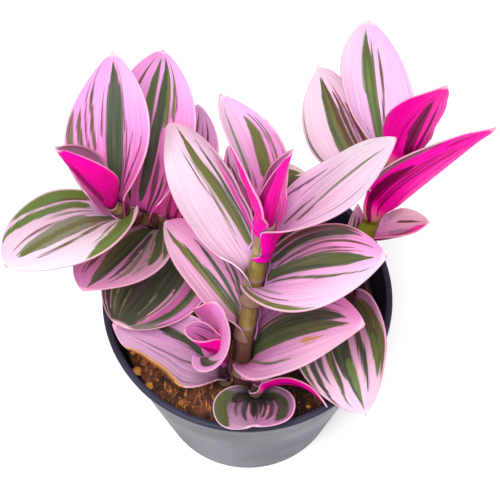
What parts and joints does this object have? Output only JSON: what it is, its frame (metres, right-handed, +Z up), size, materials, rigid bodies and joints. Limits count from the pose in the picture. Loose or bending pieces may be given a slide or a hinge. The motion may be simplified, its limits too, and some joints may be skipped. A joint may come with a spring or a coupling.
{
  "type": "potted plant",
  "caption": "Potted tradescantia: striped pink and green clasping leaves on leaning stems, standing in soil in a thin tapered nursery pot.",
  "frame": {"origin": "centre of the pot's base, on the surface that it stands on", "axes": "+Z up along the pot's axis, -Y towards the side seen in the picture, +X to that side's right"},
  "size_m": [0.1575, 0.1365, 0.1967],
  "materials": {
    "pot_plastic": "satin",
    "potting_mix": "matte",
    "stem": "satin",
    "leaf_pale": "satin",
    "leaf_mid": "satin",
    "leaf_dark": "satin",
    "leaf_underside": "satin",
    "leaf_bud": "satin"
  },
  "bodies": {
    "root": {"pot": "pot_plastic", "soil": "potting_mix", "stem_centre": "stem", "stem_left": "stem", "stem_right": "stem", "stem_side": "stem", "stem_front": "stem", "stem_back": "stem", "leaf_centre_1": "leaf_dark", "leaf_centre_2": "leaf_mid", "leaf_centre_3": "leaf_mid", "leaf_centre_4": "leaf_pale", "leaf_centre_5": "leaf_pale", "leaf_centre_6": "leaf_pale", "leaf_centre_7": "leaf_bud", "leaf_left_1": "leaf_dark", "leaf_left_2": "leaf_mid", "leaf_left_3": "leaf_dark", "leaf_left_4": "leaf_mid", "leaf_left_5": "leaf_pale", "leaf_left_6": "leaf_mid", "leaf_left_7": "leaf_bud", "leaf_right_1": "leaf_dark", "leaf_right_2": "leaf_bud", "leaf_right_3": "leaf_bud", "leaf_right_4": "leaf_underside", "leaf_right_5": "leaf_pale", "leaf_right_6": "leaf_pale", "leaf_right_7": "leaf_underside", "leaf_side_1": "leaf_pale", "leaf_side_2": "leaf_mid", "leaf_side_3": "leaf_bud", "leaf_front_1": "leaf_dark", "leaf_front_2": "leaf_underside", "leaf_front_3": "leaf_bud", "leaf_back_1": "leaf_mid", "leaf_back_2": "leaf_dark", "leaf_back_3": "leaf_pale"}
  },
  "joints": []
}
